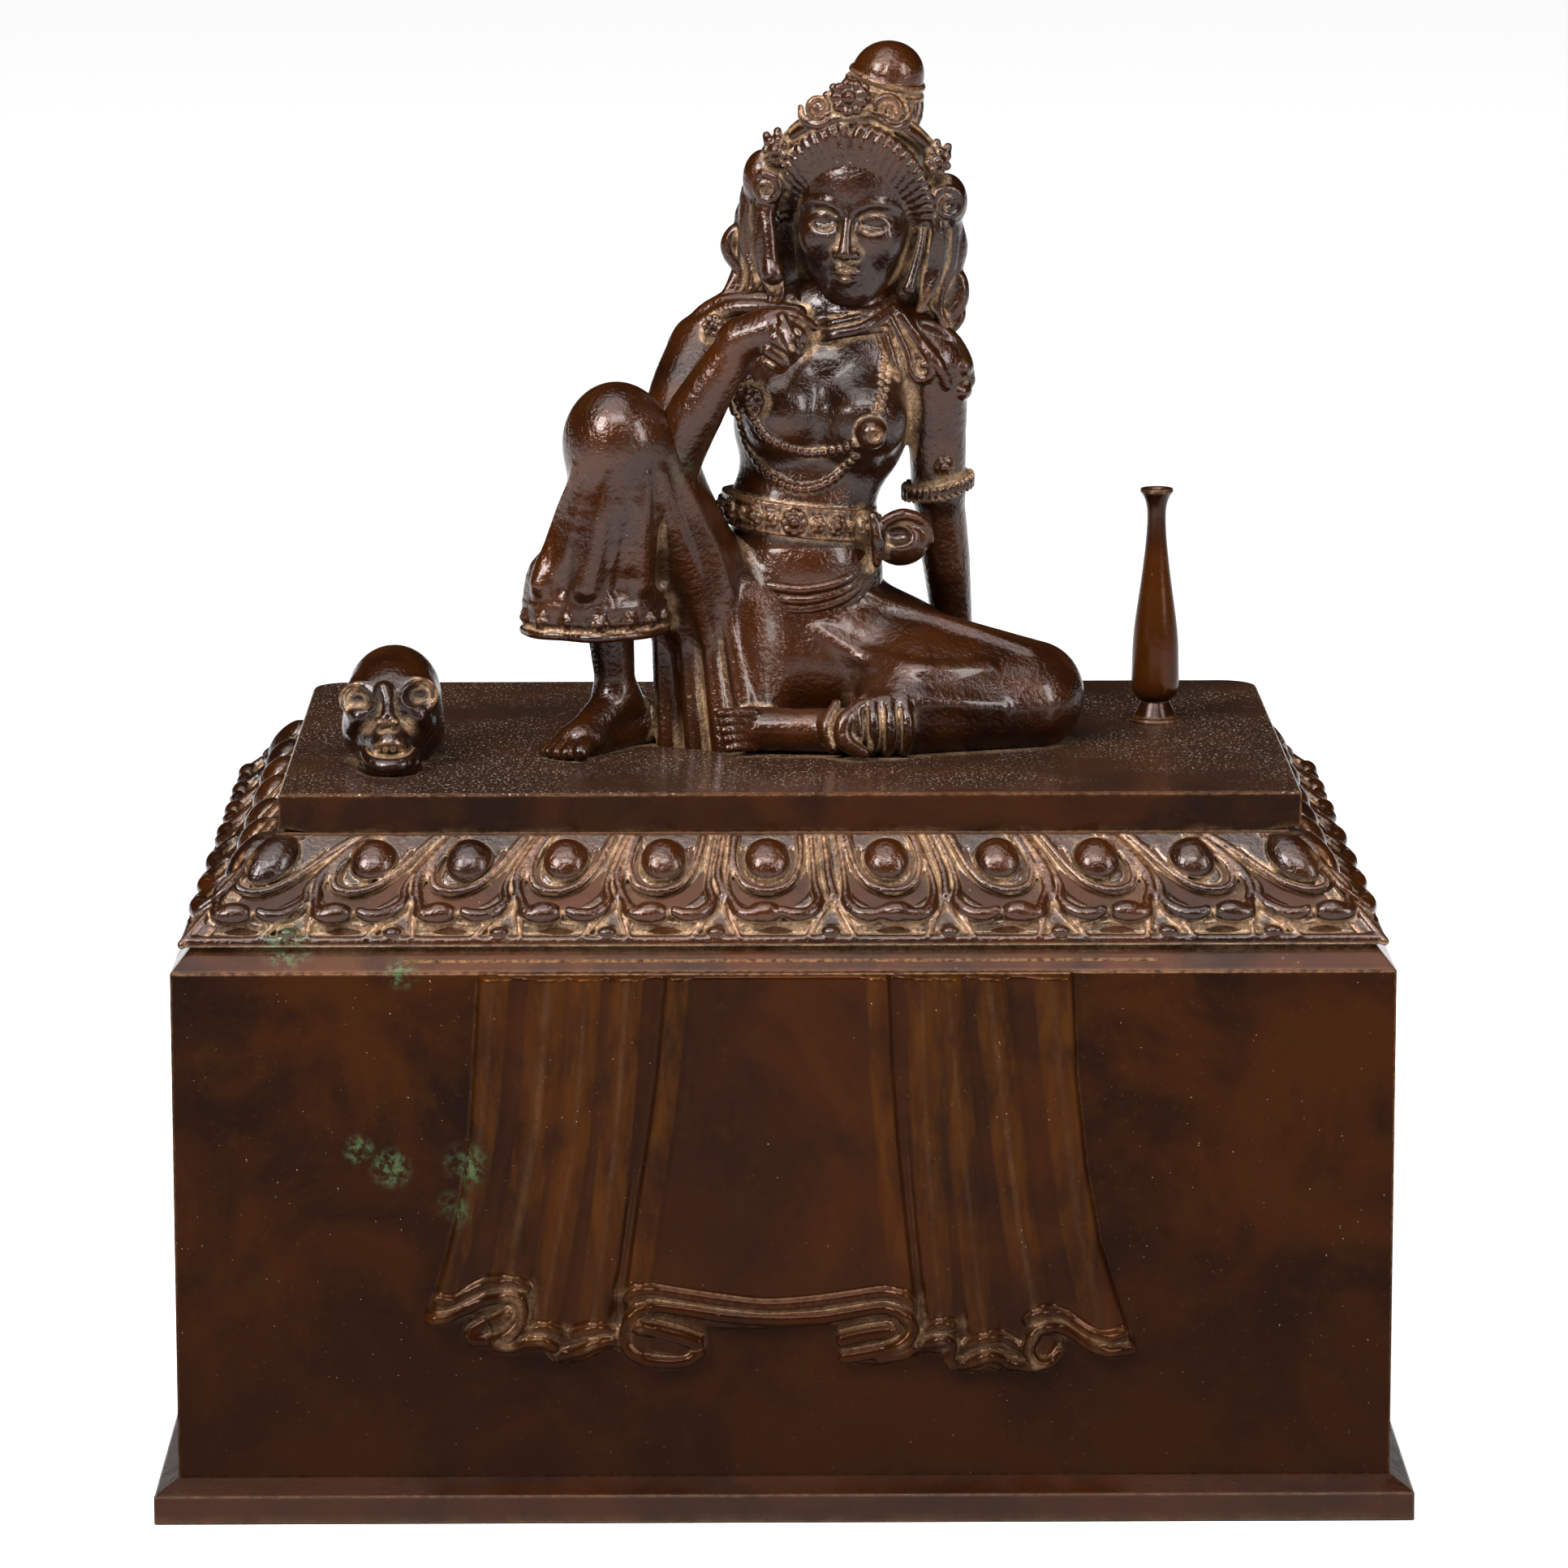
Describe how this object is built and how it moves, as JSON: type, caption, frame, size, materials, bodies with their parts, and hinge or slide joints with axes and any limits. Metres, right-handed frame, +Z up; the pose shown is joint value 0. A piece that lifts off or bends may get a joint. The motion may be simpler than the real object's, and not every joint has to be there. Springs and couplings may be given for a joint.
{
  "type": "inkwell",
  "caption": "Bronze inkwell: a draped altar-shaped case with a lotus shoulder and a hinged slab lid that carries a seated figure, a skull and a vase.",
  "frame": {"origin": "centre of the foot, on the surface the object stands on", "axes": "+Z up, +X to the right of a viewer in front, -Y to the front with the drapery, so the lid's hinges are at +Y"},
  "size_m": [0.2, 0.142, 0.2292],
  "materials": {
    "bronze": "chestnut-brown patinated cast bronze, satin, dusty in the recesses",
    "brass_fittings": "dull brass sheet and turned fittings",
    "steel_fasteners": "darkened steel",
    "cup_glass": "thick moulded glass",
    "baize": "green baize"
  },
  "bodies": {
    "case": {"foot_frame": "bronze", "case_walls": "bronze", "lotus_shoulder": "bronze", "base_plate": "brass_fittings", "base_plate_screws": "steel_fasteners", "tie_screws": "steel_fasteners", "baize_pad": "baize", "liner_tray": "brass_fittings", "pen_trough": "brass_fittings", "ink_cup_left": "cup_glass", "ink_cup_right": "cup_glass", "case_hinge_leaf_left": "brass_fittings", "case_hinge_leaf_right": "brass_fittings", "hinge_pin_left": "steel_fasteners", "hinge_pin_right": "steel_fasteners", "case_hinge_screws": "steel_fasteners"},
    "lid": {"lid_slab": "bronze", "lid_hinge_leaf_left": "brass_fittings", "lid_hinge_leaf_right": "brass_fittings", "lid_hinge_screws": "steel_fasteners", "seated_figure": "bronze", "figure_studs": "brass_fittings", "figure_washers": "brass_fittings", "figure_nuts": "brass_fittings", "skull": "bronze", "skull_screw": "steel_fasteners", "vase_foot": "bronze", "vase_body": "bronze", "vase_screw": "steel_fasteners"}
  },
  "joints": [
    {"name": "lid_hinge", "type": "hinge", "parent": "case", "child": "lid", "pos_m": [0, 0.0542, 0.1078], "axis": [-1, 0, 0], "range_deg": [0, 95]}
  ]
}
